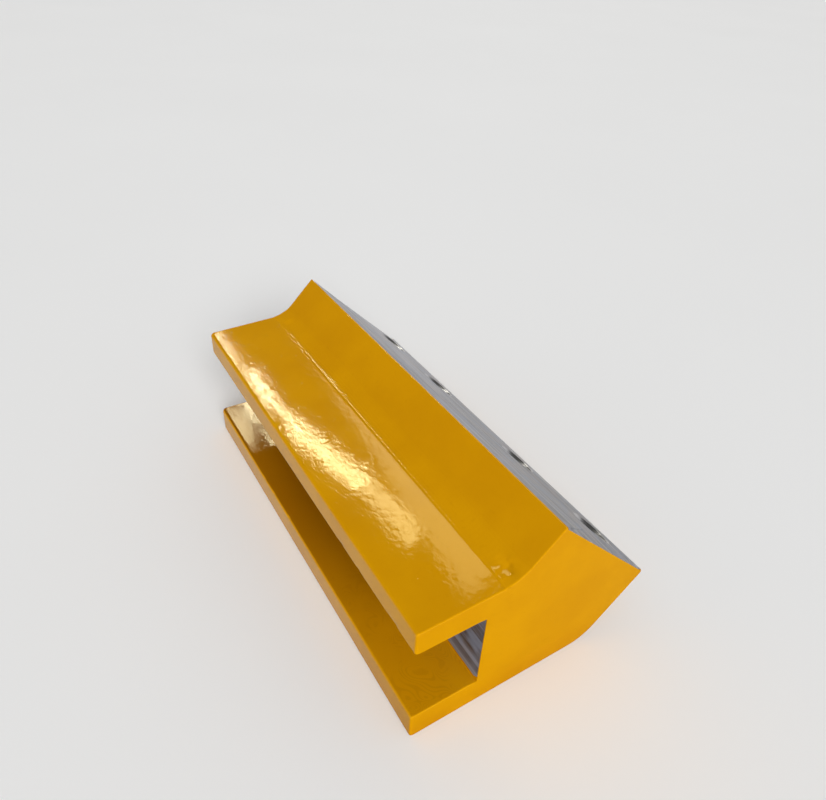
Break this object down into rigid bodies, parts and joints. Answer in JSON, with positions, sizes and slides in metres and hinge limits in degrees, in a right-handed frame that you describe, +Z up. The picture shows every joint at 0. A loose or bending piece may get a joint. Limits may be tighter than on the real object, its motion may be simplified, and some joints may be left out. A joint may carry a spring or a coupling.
{
  "type": "slotted wear edge shroud",
  "caption": "Welded shroud: a slotted jaw slides over a plate edge, with a thick bar at 45 degrees behind it whose bare machined face has tapped holes for a bolt-on wear piece.",
  "frame": {"origin": "centre of the bounding box's footprint, on the plane that the part rests on", "axes": "+X along the slot, -Y out of the slot's mouth, +Y towards the nose of the bar, +Z up"},
  "size_m": [0.274, 0.1472, 0.1063],
  "materials": {
    "enamel": "glossy yellow-orange enamel over rough rolled steel",
    "machined_steel": "bare machined steel with lengthwise tool marks",
    "painted_weld": "glossy enamel over weld metal"
  },
  "bodies": {
    "root": {"lower_plate": "enamel", "upper_plate": "enamel", "web_block": "machined_steel", "seat_bar": "enamel", "groove_weld": "painted_weld", "nose_weld": "painted_weld", "near_bar_seal": "painted_weld", "near_web_seal": "painted_weld", "near_jaw_seal": "painted_weld", "far_bar_seal": "painted_weld", "far_web_seal": "painted_weld", "far_jaw_seal": "painted_weld"}
  },
  "joints": []
}
